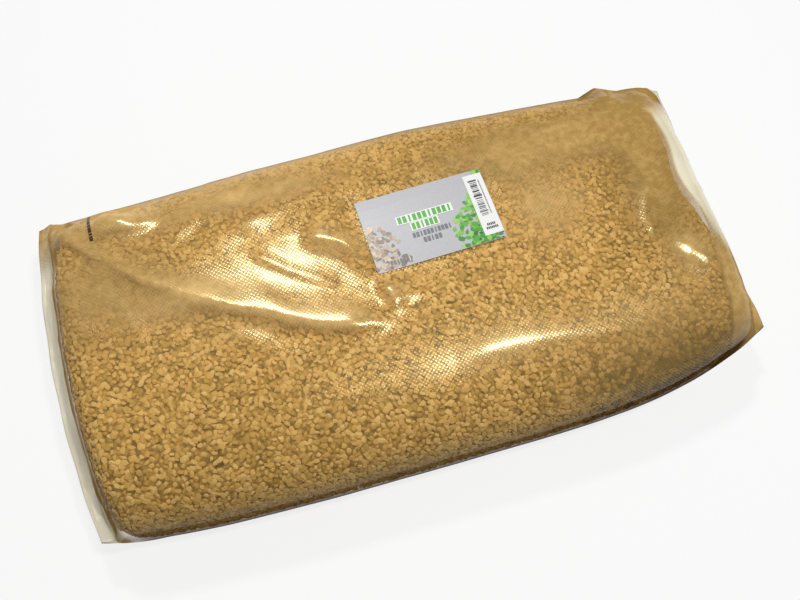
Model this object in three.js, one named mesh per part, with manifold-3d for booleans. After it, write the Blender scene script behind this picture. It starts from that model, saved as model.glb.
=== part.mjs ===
import * as THREE from 'three';
import { mergeVertices } from 'three/addons/utils/BufferGeometryUtils.js';
import Module from 'manifold-3d';

// A clear film bag of wood granulate, lying on its broad back. Millimetres.
// +X runs along the bag, -Y is its front side, +Z is up, and it lies on z = 0.

// Overall form of the filled bag
const BAG_LENGTH = 790; // from seal edge to seal edge
const BAG_WIDTH = 409; // across the widest place
const BAG_HEIGHT = 151; // at the crown
const WAIST_HEIGHT = 48; // where the side walls bulge furthest
const TOP_SQUARENESS = 3.1; // superellipse power of the upper half
const BOTTOM_SQUARENESS = 3.4; // superellipse power of the lower half
const REST_SINK = 2.5; // how far the lower half is pressed flat

// Ends of the filled body
const END_ROUND_LEFT = 40; // length over which the left end rises to full height
const END_ROUND_RIGHT = 52;
const END_FULLNESS = 3.2; // higher is a blunter end

// The bag is widest at its own place on each side, and narrows from there to both seals
const WIDEST_BACK = 45; // from mid length towards the right
const WIDEST_FRONT = 16;
const BACK_FULLNESS = 1.3; // higher keeps the side wide for longer
const FRONT_FULLNESS = 3.7;

// Heat seals and the empty film beside them
const FILM_THICKNESS = 0.6;
const SEAL_WIDTH = 6;
const SEAL_BACK_LEFT = 184; // how far each seal reaches behind the middle line
const SEAL_BACK_RIGHT = 181;
const SEAL_FRONT_LEFT = 187; // and in front of it
const SEAL_FRONT_RIGHT = 154;
const SEAL_HEIGHT_LEFT = 78; // above the floor, at the middle of the seal
const SEAL_HEIGHT_RIGHT = 71;
const SEAL_TILT_LEFT = 13; // how much higher the seal is at the back than in the middle
const SEAL_TILT_RIGHT = 5;
const SEAL_BOW_LEFT = 16; // how far the seal swells out between its ears
const SEAL_BOW_RIGHT = -3;
const SEAL_SKEW_LEFT = -4; // how far the back ear is moved towards the right
const SEAL_SKEW_RIGHT = -1.5;
const MARGIN_LEFT = 10; // empty film between the seal and the granulate
const MARGIN_RIGHT = 7;
const MARGIN_OPENING = 5; // half the gap between the sheets where the granulate starts
const SEAL_STEP = 1.5; // the sheets part over this length beside the seal
const SEAL_PARTING = 1.4; // half the gap between the sheets right beside the seal
const FOLD_INSET = 7; // the sheets lie together this far in from a flat side fold

// Gathers that run in from the seals
const GATHER_COUNT = 5;
const GATHER_DEPTH = 1.5;
const GATHER_REACH = 70;

// Needle vents through the top sheet
const VENT_DIAMETER = 1.4;
const VENT_PITCH_ALONG = 92;
const VENT_PITCH_ACROSS = 84;
const VENT_DRILL = 40; // length of the cutter
const VENT_ROWS = 3;
const VENT_COLUMNS = 5;

// Granulate
const FILL_GAP = 0.3; // between the film and the granulate
const FILL_SLACK = 0.7; // more room where the film curves
const GRAIN_INSET = 11; // grains stay this far out of the flat side folds
const END_SLACK = 3.8; // and at the very ends
const GRAIN_RELIEF = 2.4; // depth of the lumpy surface

// Label, stuck on the top face. u runs along it and v across it, from its middle.
const LABEL_LENGTH = 150;
const LABEL_WIDTH = 92;
const LABEL_THICKNESS = 0.3;
const LABEL_X = 40;
const LABEL_Y = 47;
const LABEL_TURN = 2.3; // degrees
const LABEL_GAP = 0.3;
const LABEL_BORDER = 20; // the film stays smooth this far around it

// Print on the label: plain fields of colour
const PRINT_THICKNESS = 0.2;
const PRINT_GAP = 0.3;
const PRINT_EDGE = 0.6; // bare rim of the label around printed fields
const FIELD_GAP = 0.3; // between printed fields side by side
const FOLIAGE_LENGTH = 27; // of the foliage along the top edge
const FOLIAGE_LEAN = 24; // how much longer it is along the bottom edge
const LEAF_LENGTH = 15;
const LEAF_WIDTH = 9;
const LEAF_COUNT = 7;
const PANEL_LENGTH = 19; // white panel with bars
const PANEL_WIDTH = 76;
const PANEL_INSET = 12; // from the end of the label to the middle of the panel
const PANEL_V = 1;
const BAR_FIELD = 12; // length of each bar
const BAR_COUNT = 11;
const BAR_PITCH = 4;
const BAR_WIDTH = 1.8;
const BAR_SPINE = 1;
const BAR_FIELD_V = 10;
const TITLE_LENGTH = 62; // stepped green field
const TITLE_WIDTH = 9;
const TITLE_SECOND = 30;
const TITLE_U = -10;
const TITLE_V = 4;
const NOTE_LENGTH = 46; // stepped grey field
const NOTE_WIDTH = 6;
const NOTE_SECOND = 22;
const NOTE_U = -8;
const NOTE_V = -24;
const PICTURE_LENGTH = 34; // rounded tan field in the lower left corner
const PICTURE_WIDTH = 54;

// Short dark mark printed across the film near its back left corner
const MARK_LENGTH = 30;
const MARK_WIDTH = 4;
const MARK_FROM_END = 65;
const MARK_FROM_SIDE = 62;
const MARK_GAP = 0.9; // over the film, which curves under it
const MARK_BORDER = 10; // the film stays smooth this far around it
const MARK_TURN = 0.1; // radians from straight across the bag

// Creases of the film on the top face, each a run of x, y points
const CREASE_HEIGHT = 8; // of the long crease and the loop it ends in
const CREASE_LOW_HEIGHT = 3.5; // of the others
const CREASE_WIDTH = 15;
const CREASE_PULL = 10; // facet corners nearer than this are drawn onto the ridge
const CREASE_CLEAR = 22; // the creases die out over this distance towards the label
const LONG_CREASE = [
  [-370, 152], [-332, 107], [-283, 59], [-245, 29], [-206, 7], [-167, -12], [-128, -33],
  [-99, -46], [-68, -54], [-47, -56], [-29, -53],
];
const LOOP_CREASE = [[-29, -53], [-28, -23], [-37, 11], [-60, 42], [-105, 65]];
const INNER_CREASE = [[-163, 58], [-116, 19], [-73, -10]];
const RIGHT_CREASE = [[315, 34], [283, -3], [278, -36]];
const SHOULDER_CREASE = [[19, -118], [70, -114], [136, -120], [223, -137], [280, -145], [335, -151]];
const CREASE_STEP_COUNT = 60;

// Reach of the ends' own shape
const BOW_REACH = 190;

// How finely the sheets are cut into facets
const STATION_COUNT = 47;
const TOP_POINT_COUNT = 29;
const BOTTOM_POINT_COUNT = 12;
const END_CROWDING = 0.5; // 0 spreads evenly, 1 crowds most
const TOP_CROWDING = 0.3;
const BOTTOM_CROWDING = 0.8;
const OUTLINE_STEP_COUNT = 72;
const LABEL_CELL = 14;

const wasm = await Module();
wasm.setup();

const clamp = THREE.MathUtils.clamp;
const lerp = THREE.MathUtils.lerp;
const smooth = (t) => THREE.MathUtils.smoothstep(t, 0, 1);

// Moves evenly spread shares from 0 to 1 closer to both ends.
const crowd = (t, amount) => t - amount * Math.sin(2 * Math.PI * t) / (2 * Math.PI);

function material(color, roughness, opacity = 1) {
  return new THREE.MeshStandardMaterial({
    color, roughness, metalness: 0, opacity, transparent: opacity < 1,
  });
}

// The cross-section at a station, from the values of its nearer end.
function endOf(x) {
  const left = x < 0;
  return {
    inset: BAG_LENGTH / 2 - Math.abs(x),
    round: left ? END_ROUND_LEFT : END_ROUND_RIGHT,
    margin: left ? MARGIN_LEFT : MARGIN_RIGHT,
    sealZ: left ? SEAL_HEIGHT_LEFT : SEAL_HEIGHT_RIGHT,
    tilt: left ? SEAL_TILT_LEFT : SEAL_TILT_RIGHT,
    bow: left ? SEAL_BOW_LEFT : SEAL_BOW_RIGHT,
    skew: left ? SEAL_SKEW_LEFT : SEAL_SKEW_RIGHT,
    outward: left ? -1 : 1,
  };
}

function riseOf(end) {
  const t = clamp((end.inset - SEAL_WIDTH - end.margin) / end.round, 0, 1);
  return 1 - (1 - t) ** END_FULLNESS;
}

function sheetGapOf(end) {
  const t = clamp((end.inset - SEAL_WIDTH) / end.margin, 0, 1);
  return end.inset < SEAL_WIDTH ? 0 : lerp(SEAL_PARTING, MARGIN_OPENING, t);
}

// Half the width of one side at x: full at the widest place, and the seals' at both ends.
function reachAt(x, widest, sealLeft, sealRight, fullness) {
  const offset = x - widest;
  const seal = offset < 0 ? sealLeft : sealRight;
  const span = BAG_LENGTH / 2 - Math.sign(offset) * widest;
  return lerp(BAG_WIDTH / 2, seal, Math.abs(offset / span) ** fullness);
}

function sectionAt(x) {
  const end = endOf(x);
  const rise = riseOf(end);
  const flat = FILM_THICKNESS + sheetGapOf(end);
  return {
    end,
    rise,
    back: reachAt(x, WIDEST_BACK, SEAL_BACK_LEFT, SEAL_BACK_RIGHT, BACK_FULLNESS),
    front: reachAt(x, WIDEST_FRONT, SEAL_FRONT_LEFT, SEAL_FRONT_RIGHT, FRONT_FULLNESS),
    waist: lerp(end.sealZ, WAIST_HEIGHT, rise),
    up: flat + (BAG_HEIGHT - WAIST_HEIGHT - flat) * rise,
    down: flat + (WAIST_HEIGHT + REST_SINK - flat) * rise,
  };
}

// One half of a section as a polyline from the back edge (+Y) to the front edge (-Y),
// drawn in by depth on all sides.
function halfOutline(section, upper, depth, foldInset) {
  const power = upper ? TOP_SQUARENESS : BOTTOM_SQUARENESS;
  const reach = upper ? section.up - depth : depth - section.down;
  const edge = depth + foldInset * (1 - section.rise);
  const points = [];
  for (let i = 0; i <= OUTLINE_STEP_COUNT; i += 1) {
    const angle = Math.PI * i / OUTLINE_STEP_COUNT;
    const cos = Math.cos(angle);
    const side = cos > 0 ? section.back - edge : edge - section.front;
    const y = side * Math.abs(cos) ** (2 / power);
    const z = section.waist + reach * Math.sin(angle) ** (2 / power);
    points.push([y, Math.max(z, depth)]);
  }
  return points;
}

function pointAlong(points, share) {
  const lengths = [0];
  for (let i = 1; i < points.length; i += 1) {
    const step = Math.hypot(points[i][0] - points[i - 1][0], points[i][1] - points[i - 1][1]);
    lengths.push(lengths[i - 1] + step);
  }
  const wanted = share * lengths.at(-1);
  let i = 1;
  while (i < points.length - 1 && lengths[i] < wanted) i += 1;
  const t = (wanted - lengths[i - 1]) / (lengths[i] - lengths[i - 1]);
  return [lerp(points[i - 1][0], points[i][0], t), lerp(points[i - 1][1], points[i][1], t)];
}

// Where the ends swell, tilt and gather, a point of a plain section moves by this.
function shapeEnds(x, y, z, section, floor) {
  const { end } = section;
  const across = y / (y > 0 ? section.back : section.front);
  const bow = end.outward * end.bow * (1 - across * across) + end.skew * across;
  const pull = smooth(1 - end.inset / BOW_REACH);
  const ripple = Math.cos(Math.PI * GATHER_COUNT * across + end.outward);
  const gather = GATHER_DEPTH * ripple * smooth(1 - end.inset / GATHER_REACH);
  const tilt = end.tilt * across * (1 - section.rise);
  return new THREE.Vector3(x + bow * pull, y, Math.max(z + tilt + gather, floor));
}

// The bag's own smooth surface, or one that lies depth inside it. turn runs from 0 to 1
// over the top from back to front, and from 1 to 2 back along the underside.
function surfacePoint(x, turn, depth = 0, foldInset = 0) {
  const section = sectionAt(x);
  const upper = turn <= 1;
  const outline = halfOutline(section, upper, depth, foldInset);
  const [y, z] = pointAlong(outline, upper ? turn : 2 - turn);
  return shapeEnds(x * (1 - 2 * depth / BAG_LENGTH), y, z, section, depth);
}

// The height of the top face over a point of the middle of the bag.
function topHeight(x, y) {
  const section = sectionAt(x);
  const across = Math.min(Math.abs(y) / (y > 0 ? section.back : section.front), 1);
  return section.waist + section.up * (1 - across ** TOP_SQUARENESS) ** (1 / TOP_SQUARENESS);
}

// Creases lift the film off the granulate. Each runs over the top face through its points
// as height over the plain surface.
function crease(path, height) {
  const curve = new THREE.CatmullRomCurve3(path.map(([x, y]) => new THREE.Vector3(x, y, 0)));
  return { height, points: curve.getSpacedPoints(CREASE_STEP_COUNT) };
}

const creases = [
  ...[LONG_CREASE, LOOP_CREASE].map((path) => crease(path, CREASE_HEIGHT)),
  ...[INNER_CREASE, RIGHT_CREASE, SHOULDER_CREASE].map((path) => crease(path, CREASE_LOW_HEIGHT)),
];

const markX = MARK_FROM_END - BAG_LENGTH / 2;
const markY = BAG_WIDTH / 2 - MARK_FROM_SIDE;

// The nearest point of each crease, how far away it is and how much of the crease stands there.
function nearCreases(x, y) {
  const awayFromMark = Math.hypot(x - markX, y - markY) - MARK_LENGTH / 2 - MARK_BORDER;
  const clear = smooth(Math.min(awayFromLabel(x, y), awayFromMark) / CREASE_CLEAR);
  return creases.map(({ height, points }) => {
    let near = { distance: Infinity, height };
    points.forEach((point, i) => {
      const distance = Math.hypot(point.x - x, point.y - y);
      if (distance < near.distance) near = { distance, point, height, share: i / CREASE_STEP_COUNT };
    });
    const fade = Math.min(1, 6 * (1 - near.share) + 0.2, 6 * near.share + 0.2);
    return { ...near, strength: fade * clear };
  });
}

function creaseLift(x, y) {
  const lifts = nearCreases(x, y)
    .map(({ distance, height, strength }) => height * strength * Math.exp(-distance / CREASE_WIDTH));
  return Math.max(...lifts);
}

// Where a point of the top face goes so that the ridges run along facet edges.
function creasePull(x, y) {
  const [near] = nearCreases(x, y).sort((a, b) => a.distance - b.distance);
  const share = near.strength * Math.exp(-((near.distance / CREASE_PULL) ** 2));
  return [lerp(x, near.point.x, share), lerp(y, near.point.y, share)];
}

// How far a point lies outside the label, 0 on it.
function awayFromLabel(x, y) {
  const turned = new THREE.Vector2(x - LABEL_X, y - LABEL_Y)
    .rotateAround(new THREE.Vector2(), -THREE.MathUtils.degToRad(LABEL_TURN));
  const u = Math.max(Math.abs(turned.x) - LABEL_LENGTH / 2, 0);
  const v = Math.max(Math.abs(turned.y) - LABEL_WIDTH / 2, 0);
  return Math.max(Math.hypot(u, v) - LABEL_BORDER, 0);
}

// A closed skin over stations from end to end. place gives a point for a station and turn.
function skin(stations, place) {
  const turns = [];
  for (let i = 0; i < TOP_POINT_COUNT; i += 1) {
    turns.push(crowd(i / TOP_POINT_COUNT, TOP_CROWDING));
  }
  for (let i = 0; i < BOTTOM_POINT_COUNT; i += 1) {
    turns.push(1 + crowd(i / BOTTOM_POINT_COUNT, BOTTOM_CROWDING));
  }
  const positions = stations.flatMap((x) => turns.flatMap((turn) => place(x, turn).toArray()));
  return closeGrid(positions, stations.length);
}

function closeGrid(positions, rows) {
  const around = TOP_POINT_COUNT + BOTTOM_POINT_COUNT;
  const at = (row, i) => row * around + (i % around);
  const index = [];
  for (let row = 0; row < rows - 1; row += 1) {
    for (let i = 0; i < around; i += 1) {
      index.push(at(row, i), at(row, i + 1), at(row + 1, i + 1));
      index.push(at(row, i), at(row + 1, i + 1), at(row + 1, i));
    }
  }
  zipCap(index, (i) => at(0, i), false);
  zipCap(index, (i) => at(rows - 1, i), true);
  const geometry = new THREE.BufferGeometry();
  geometry.setAttribute('position', new THREE.Float32BufferAttribute(positions, 3));
  geometry.setIndex(index);
  return geometry;
}

// Closes an end between its upper row of points and its lower row.
function zipCap(index, at, flip) {
  const around = TOP_POINT_COUNT + BOTTOM_POINT_COUNT;
  let top = 0;
  let bottom = around;
  const push = (...corners) => {
    const [a, b, c] = corners.map(at);
    if (a !== b && b !== c && a !== c) index.push(...(flip ? [a, b, c] : [a, c, b]));
  };
  while (top < TOP_POINT_COUNT || bottom > TOP_POINT_COUNT) {
    const topBehind = top / TOP_POINT_COUNT <= (around - bottom) / BOTTOM_POINT_COUNT;
    if (topBehind && top < TOP_POINT_COUNT) {
      push(top, top + 1, bottom);
      top += 1;
    } else {
      push(top, bottom - 1, bottom);
      bottom -= 1;
    }
  }
}

function toSolid(geometry) {
  const clean = mergeVertices(geometry, 1e-5);
  return new wasm.Manifold(new wasm.Mesh({
    numProp: 3,
    vertProperties: new Float32Array(clean.attributes.position.array),
    triVerts: new Uint32Array(clean.index.array),
  }));
}

function toGeometry(solid) {
  const mesh = solid.getMesh();
  const geometry = new THREE.BufferGeometry();
  geometry.setAttribute('position', new THREE.BufferAttribute(new Float32Array(mesh.vertProperties), 3));
  geometry.setIndex(new THREE.BufferAttribute(new Uint32Array(mesh.triVerts), 1));
  return geometry;
}

// Stations lie closer together towards both ends.
function stationsBetween(first, last, count) {
  return Array.from({ length: count + 1 }, (_, i) => lerp(first, last, crowd(i / count, END_CROWDING)));
}

// The film: the smooth surface with the creases raised on its top face.
function filmSheet(x, turn, depth = 0, foldInset = 0) {
  const p = surfacePoint(x, turn, depth, foldInset);
  const outer = surfacePoint(x, turn);
  const onTop = turn < 1 ? smooth(4 * Math.min(turn, 1 - turn)) * sectionAt(x).rise : 0;
  if (onTop === 0) return p;
  const [pulledX, pulledY] = creasePull(outer.x, outer.y);
  const slide = topHeight(pulledX, pulledY) - topHeight(outer.x, outer.y);
  const lift = creaseLift(pulledX, pulledY);
  return p.add(new THREE.Vector3(
    (pulledX - outer.x) * onTop, (pulledY - outer.y) * onTop, (slide + lift) * onTop,
  ));
}

function vents() {
  const drill = new THREE.CylinderGeometry(VENT_DIAMETER / 2, VENT_DIAMETER / 2, VENT_DRILL, 6);
  drill.deleteAttribute('uv').deleteAttribute('normal').rotateX(Math.PI / 2);
  const cuts = [];
  for (let column = 0; column < VENT_COLUMNS; column += 1) {
    for (let row = 0; row < VENT_ROWS; row += 1) {
      const x = (column - (VENT_COLUMNS - 1) / 2) * VENT_PITCH_ALONG;
      const y = (row - (VENT_ROWS - 1) / 2) * VENT_PITCH_ACROSS;
      if (awayFromLabel(x, y) === 0) continue;
      const cut = drill.clone().translate(x, y, topHeight(x, y));
      cuts.push(toSolid(cut));
    }
  }
  return wasm.Manifold.union(cuts);
}

// The stations from one end of the granulate to the other.
function fillStations() {
  const inside = BAG_LENGTH / 2 - SEAL_WIDTH;
  return stationsBetween(MARGIN_LEFT - inside, inside - MARGIN_RIGHT, STATION_COUNT);
}

function filmBag() {
  const half = BAG_LENGTH / 2;
  const inside = half - SEAL_WIDTH;
  const step = inside + SEAL_STEP;
  const parted = [-inside, ...fillStations(), inside];
  const outer = skin([-half, -step, ...parted, step, half], filmSheet);
  const inner = skin(parted, (x, turn) => filmSheet(x, turn, FILM_THICKNESS, FOLD_INSET));
  return toGeometry(toSolid(outer).subtract(toSolid(inner)).subtract(vents()));
}

// The granulate fills the bag up to the empty margins. Its surface is lumpy with grains,
// but lies flat on the underside.
function litterFill() {
  return skin(fillStations(), (x, turn) => {
    const { rise } = sectionAt(x);
    const upper = turn > 0 && turn < 1;
    const grain = upper ? FILL_SLACK + GRAIN_RELIEF * grainNoise(x, turn) : 0;
    const depth = FILM_THICKNESS + FILL_GAP + lerp(END_SLACK, grain, rise);
    return surfacePoint(x, turn, depth, FOLD_INSET + GRAIN_INSET);
  });
}

// A steady, even scatter from 0 to 1 that does not change from build to build.
function grainNoise(x, turn) {
  const wave = Math.sin(x * 12.9898 + turn * 7823.3) * 43758.5453;
  return wave - Math.floor(wave);
}

// A point of the label's own plane, u along it and v across it, on the bag.
function labelPlace(u, v) {
  const turn = THREE.MathUtils.degToRad(LABEL_TURN);
  const x = LABEL_X + u * Math.cos(turn) - v * Math.sin(turn);
  const y = LABEL_Y + u * Math.sin(turn) + v * Math.cos(turn);
  return [x, y];
}

// Wraps flat work, drawn in the label's plane with its underside at 0, onto the bag.
function wrapOnBag(geometry, lift) {
  const position = geometry.attributes.position;
  for (let i = 0; i < position.count; i += 1) {
    const [x, y] = labelPlace(position.getX(i), position.getY(i));
    position.setXYZ(i, x, y, topHeight(x, y) + lift + position.getZ(i));
  }
  return geometry;
}

function sheet(width, height, thickness, u = 0, v = 0) {
  const columns = Math.max(1, Math.round(width / LABEL_CELL));
  const rows = Math.max(1, Math.round(height / LABEL_CELL));
  const box = new THREE.BoxGeometry(width, height, thickness, columns, rows, 1);
  return box.translate(u, v, thickness / 2);
}

function plain(geometry) {
  for (const name of ['uv', 'normal']) geometry.deleteAttribute(name);
  return mergeVertices(geometry, 1e-4);
}

function label() {
  return plain(wrapOnBag(sheet(LABEL_LENGTH, LABEL_WIDTH, LABEL_THICKNESS), LABEL_GAP));
}

// Cuts flat outlines, drawn in the label's plane, out of a layer that follows the label.
function printed(shapes, openings = []) {
  const lift = LABEL_GAP + LABEL_THICKNESS + PRINT_GAP;
  const bare = 2 * PRINT_EDGE;
  const layer = sheet(LABEL_LENGTH - bare, LABEL_WIDTH - bare, PRINT_THICKNESS);
  let field = toSolid(plain(wrapOnBag(layer, lift))).intersect(columnsOver(shapes));
  if (openings.length) field = field.subtract(columnsOver(openings));
  return toGeometry(field);
}

// Upright columns over outlines in the label's plane.
function columnsOver(shapes) {
  const options = { depth: 2 * BAG_HEIGHT, bevelEnabled: false, curveSegments: 5 };
  const columns = shapes.map((shape) => {
    const column = new THREE.ExtrudeGeometry(shape, options);
    column.rotateZ(THREE.MathUtils.degToRad(LABEL_TURN)).translate(LABEL_X, LABEL_Y, 0);
    return toSolid(plain(column));
  });
  return wasm.Manifold.union(columns);
}

// A rectangle centred on u, v, grown by rim on every side.
function rectangle(length, width, u, v, rim = 0) {
  const halfLength = length / 2 + rim;
  const halfWidth = width / 2 + rim;
  const shape = new THREE.Shape();
  shape.moveTo(u - halfLength, v - halfWidth);
  shape.lineTo(u + halfLength, v - halfWidth);
  shape.lineTo(u + halfLength, v + halfWidth);
  shape.lineTo(u - halfLength, v + halfWidth);
  return shape;
}

// A leaf with two pointed ends, centred on u, v and turned by angle.
function leaf(u, v, length, width, angle) {
  const along = new THREE.Vector2(length / 2, 0).rotateAround(new THREE.Vector2(), angle);
  const side = new THREE.Vector2(0, width).rotateAround(new THREE.Vector2(), angle);
  const shape = new THREE.Shape();
  shape.moveTo(u - along.x, v - along.y);
  shape.quadraticCurveTo(u + side.x, v + side.y, u + along.x, v + along.y);
  shape.quadraticCurveTo(u - side.x, v - side.y, u - along.x, v - along.y);
  return shape;
}

// Foliage: a leaning field whose edge is set with leaves.
function foliage() {
  const top = LABEL_WIDTH / 2;
  const end = LABEL_LENGTH / 2;
  const field = new THREE.Shape();
  field.moveTo(end - FOLIAGE_LENGTH, top);
  field.lineTo(end, top);
  field.lineTo(end, -top);
  field.lineTo(end - FOLIAGE_LENGTH - FOLIAGE_LEAN, -top);
  const shapes = [field];
  for (let row = 0; row < LEAF_COUNT; row += 1) {
    const t = (row + 0.5) / LEAF_COUNT;
    const u = end - FOLIAGE_LENGTH - FOLIAGE_LEAN * t - LEAF_LENGTH / 4;
    const turn = (row % 2 ? 0.5 : -0.6) + 0.4 * t;
    shapes.push(leaf(u, lerp(top, -top, t), LEAF_LENGTH, LEAF_WIDTH, turn));
  }
  return shapes;
}

const panelU = LABEL_LENGTH / 2 - PANEL_INSET;

function panel(rim = 0) {
  return [rectangle(PANEL_LENGTH, PANEL_WIDTH, panelU, PANEL_V, rim)];
}

// Even bars side by side, held together by a thin line along one end.
function bars(rim = 0) {
  const spineU = panelU - (BAR_FIELD + BAR_SPINE) / 2;
  const spineWidth = (BAR_COUNT - 1) * BAR_PITCH + BAR_WIDTH;
  const shapes = [rectangle(BAR_SPINE, spineWidth, spineU, BAR_FIELD_V, rim)];
  for (let i = 0; i < BAR_COUNT; i += 1) {
    const v = BAR_FIELD_V + (i - (BAR_COUNT - 1) / 2) * BAR_PITCH;
    shapes.push(rectangle(BAR_FIELD + BAR_SPINE, BAR_WIDTH, panelU - BAR_SPINE / 2, v, rim));
  }
  return shapes;
}

// Two bars, the second centred under the first.
function steppedBars(first, second, width, u, v) {
  return [
    rectangle(first, width, u, v + width / 2),
    rectangle(second, width + PRINT_EDGE, u, v - width / 2),
  ];
}

function picture() {
  const left = -LABEL_LENGTH / 2;
  const bottom = -LABEL_WIDTH / 2;
  const shape = new THREE.Shape();
  shape.moveTo(left, bottom);
  shape.lineTo(left + PICTURE_LENGTH, bottom);
  shape.quadraticCurveTo(left + PICTURE_LENGTH, bottom + PICTURE_WIDTH, left, bottom + PICTURE_WIDTH);
  return [shape];
}

function filmMark() {
  const turn = Math.PI / 2 + MARK_TURN;
  const strip = sheet(MARK_LENGTH, MARK_WIDTH, PRINT_THICKNESS).rotateZ(turn);
  const position = strip.attributes.position;
  for (let i = 0; i < position.count; i += 1) {
    const x = markX + position.getX(i);
    const y = markY + position.getY(i);
    position.setXYZ(i, x, y, topHeight(x, y) + creaseLift(x, y) + MARK_GAP + position.getZ(i));
  }
  return plain(strip);
}

function add(group, name, geometry, mat) {
  const mesh = new THREE.Mesh(geometry, mat);
  mesh.name = name;
  group.add(mesh);
}

const group = new THREE.Group();
group.name = 'litter_bag';
add(group, 'film_bag', filmBag(), material('#d9cfb8', 0.12, 0.3));
add(group, 'litter_fill', litterFill(), material('#c79a55', 0.9));
add(group, 'label', label(), material('#c7c8cc', 0.35));
add(group, 'label_leaf_field', printed(foliage(), panel(FIELD_GAP)), material('#3f8f3a', 0.4));
add(group, 'label_code_panel', printed(panel(), bars(FIELD_GAP)), material('#f4f4f2', 0.4));
add(group, 'label_code_bars', printed(bars()), material('#1c1c1c', 0.4));
add(group, 'label_title_bars', printed(steppedBars(
  TITLE_LENGTH, TITLE_SECOND, TITLE_WIDTH, TITLE_U, TITLE_V)), material('#5aa82e', 0.4));
add(group, 'label_note_bars', printed(steppedBars(
  NOTE_LENGTH, NOTE_SECOND, NOTE_WIDTH, NOTE_U, NOTE_V)), material('#6d7076', 0.4));
add(group, 'label_picture_field', printed(picture()), material('#b49a80', 0.4));
add(group, 'film_mark', filmMark(), material('#2b2219', 0.5));

// The left seal swells out further than the right, so the whole is moved to lie centred.
group.position.x = (Math.max(SEAL_BOW_LEFT, 0) - Math.max(SEAL_BOW_RIGHT, 0)) / 2;

export default group;
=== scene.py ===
"""A clear film bag packed with wood granulate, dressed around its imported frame."""

import math
from functools import partialmethod
from itertools import combinations, product

import bpy
import numpy as np
from mathutils import Matrix, Vector
from mathutils.kdtree import KDTree


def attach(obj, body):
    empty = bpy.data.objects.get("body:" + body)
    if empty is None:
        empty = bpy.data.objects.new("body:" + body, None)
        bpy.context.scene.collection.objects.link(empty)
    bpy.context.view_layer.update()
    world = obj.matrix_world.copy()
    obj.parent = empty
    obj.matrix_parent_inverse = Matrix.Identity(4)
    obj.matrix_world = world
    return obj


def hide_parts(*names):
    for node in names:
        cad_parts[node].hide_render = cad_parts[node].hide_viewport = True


bl_info = {
    "name": "Granulate Bag Maker",
    "version": (1, 0, 0),
    "blender": (4, 5, 0),
    "location": "3D View > Sidebar > Bag",
    "description": "Builds a clear film bag of wood granulate with a printed label",
    "category": "Object",
}

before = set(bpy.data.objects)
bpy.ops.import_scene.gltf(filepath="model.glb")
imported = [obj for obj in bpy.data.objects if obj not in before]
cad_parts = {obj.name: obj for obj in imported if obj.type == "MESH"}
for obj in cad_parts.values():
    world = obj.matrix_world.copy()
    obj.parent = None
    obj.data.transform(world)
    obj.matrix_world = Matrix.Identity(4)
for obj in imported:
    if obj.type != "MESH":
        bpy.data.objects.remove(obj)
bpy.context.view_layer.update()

MM = 0.001
TAU = 2 * math.pi

# The bag's form in millimetres, as in the part's source
BAG_LENGTH = 790
BAG_WIDTH = 409
BAG_HEIGHT = 151
WAIST_HEIGHT = 48
TOP_SQUARENESS = 3.1
BOTTOM_SQUARENESS = 3.4
REST_SINK = 2.5
END_FULLNESS = 3.2
FILM_THICKNESS = 0.6
SEAL_WIDTH = 6
MARGIN_OPENING = 5
SEAL_PARTING = 1.4
BOW_REACH = 190
GATHER_COUNT = 5
GATHER_DEPTH = 1.5
GATHER_REACH = 70
WIDEST = {"back": 45, "front": 16}
FULLNESS = {"back": 1.3, "front": 3.7}
# Left and right end
ENDS = {
    "round": (40, 52),
    "margin": (10, 7),
    "back": (184, 181),
    "front": (187, 154),
    "seal_z": (78, 71),
    "tilt": (13, 5),
    "bow": (16, -3),
    "skew": (-4, -1.5),
}
CENTRE_SHIFT = 8  # the whole is moved along X so that its box lies centred

LABEL_MIDDLE = (40, 47)
LABEL_TURN = math.radians(2.3)
LABEL_SIZE = (150, 92)
LABEL_TOP = 0.6  # the label's upper face lies this far over the film
LABEL_RIM = 0.5
LAYER_STEP = 0.018

MARK_MIDDLE = (-330, 142.5)
MARK_TURN = 0.1
MARK_START = -19  # where its first dash begins, from its middle

OUTLINE_STEPS = 72
NOISE_WAVES = 14


# The bag's surface


def smooth(t):
    """A smooth step from 0 to 1."""
    t = np.clip(t, 0, 1)
    return t * t * (3 - 2 * t)


def step_up(value, start, span):
    """0 up to start, 1 beyond start + span, and smooth between them."""
    return smooth((value - start) / span)


def bell(value, middle, reach):
    return np.exp(-(((value - middle) / reach) ** 2))


def hump(x, y, middle_x, middle_y, along, across):
    """A round hump of height 1, with its reach along and across the bag."""
    return np.exp(-(((x - middle_x) / along) ** 2 + ((y - middle_y) / across) ** 2))


def side_reach(x, side):
    """Half the width of one side: full at the widest place, the seals' at both ends."""
    offset = x - WIDEST[side]
    seal = np.where(offset < 0, *ENDS[side])
    span = BAG_LENGTH / 2 - np.sign(offset) * WIDEST[side]
    share = np.abs(offset / span) ** FULLNESS[side]
    return BAG_WIDTH / 2 + (seal - BAG_WIDTH / 2) * share


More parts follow.
